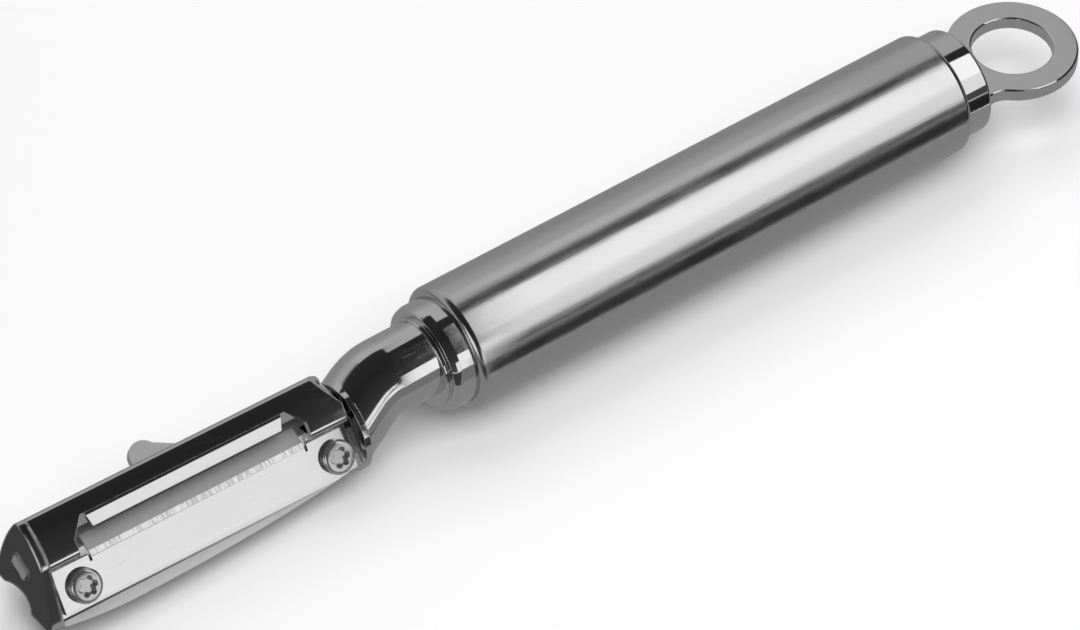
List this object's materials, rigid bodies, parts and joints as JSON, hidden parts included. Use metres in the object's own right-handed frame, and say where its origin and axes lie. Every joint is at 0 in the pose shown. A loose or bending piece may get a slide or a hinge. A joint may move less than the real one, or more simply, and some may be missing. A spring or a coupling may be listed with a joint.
{
  "type": "vegetable peeler",
  "caption": "Swivel vegetable peeler with a round steel tube handle, hanging ring, cranked neck and a formed half-tube head holding a screwed-on blade.",
  "frame": {"origin": "centre of the hanging hole at the ring plate's mid-plane", "axes": "+X along the handle from the head towards the ring, +Z the ring plate's normal, on the side the crest of the head is on, +Y away from the blade"},
  "size_m": [0.1974, 0.021, 0.02],
  "materials": {
    "brushed_steel": "fine lengthwise brushing, satin",
    "polished_steel": "mirror-polished stainless steel",
    "ground_steel": "ground blade steel with fine grinding marks across the edge",
    "plain_steel": "plain machined steel"
  },
  "bodies": {
    "handle": {"handle_tube": "brushed_steel", "front_collar": "polished_steel", "neck_rod": "polished_steel", "neck_pin": "plain_steel", "swivel_axle": "polished_steel", "thrust_washer": "plain_steel", "retaining_clip": "plain_steel", "end_cap": "polished_steel", "ring_plate": "polished_steel", "ring_pin": "plain_steel"},
    "head": {"head_shell": "polished_steel", "front_plate": "polished_steel", "rear_plate": "polished_steel", "eye_remover": "polished_steel", "blade": "ground_steel", "front_screw": "polished_steel", "rear_screw": "polished_steel", "front_bush": "plain_steel", "rear_bush": "plain_steel"}
  },
  "joints": [
    {"name": "swivel", "type": "hinge", "parent": "handle", "child": "head", "pos_m": [-0.135, 0.0004, -0.0006], "axis": [-0.9997, 0, 0.0244], "range_deg": [-20, 20]}
  ]
}
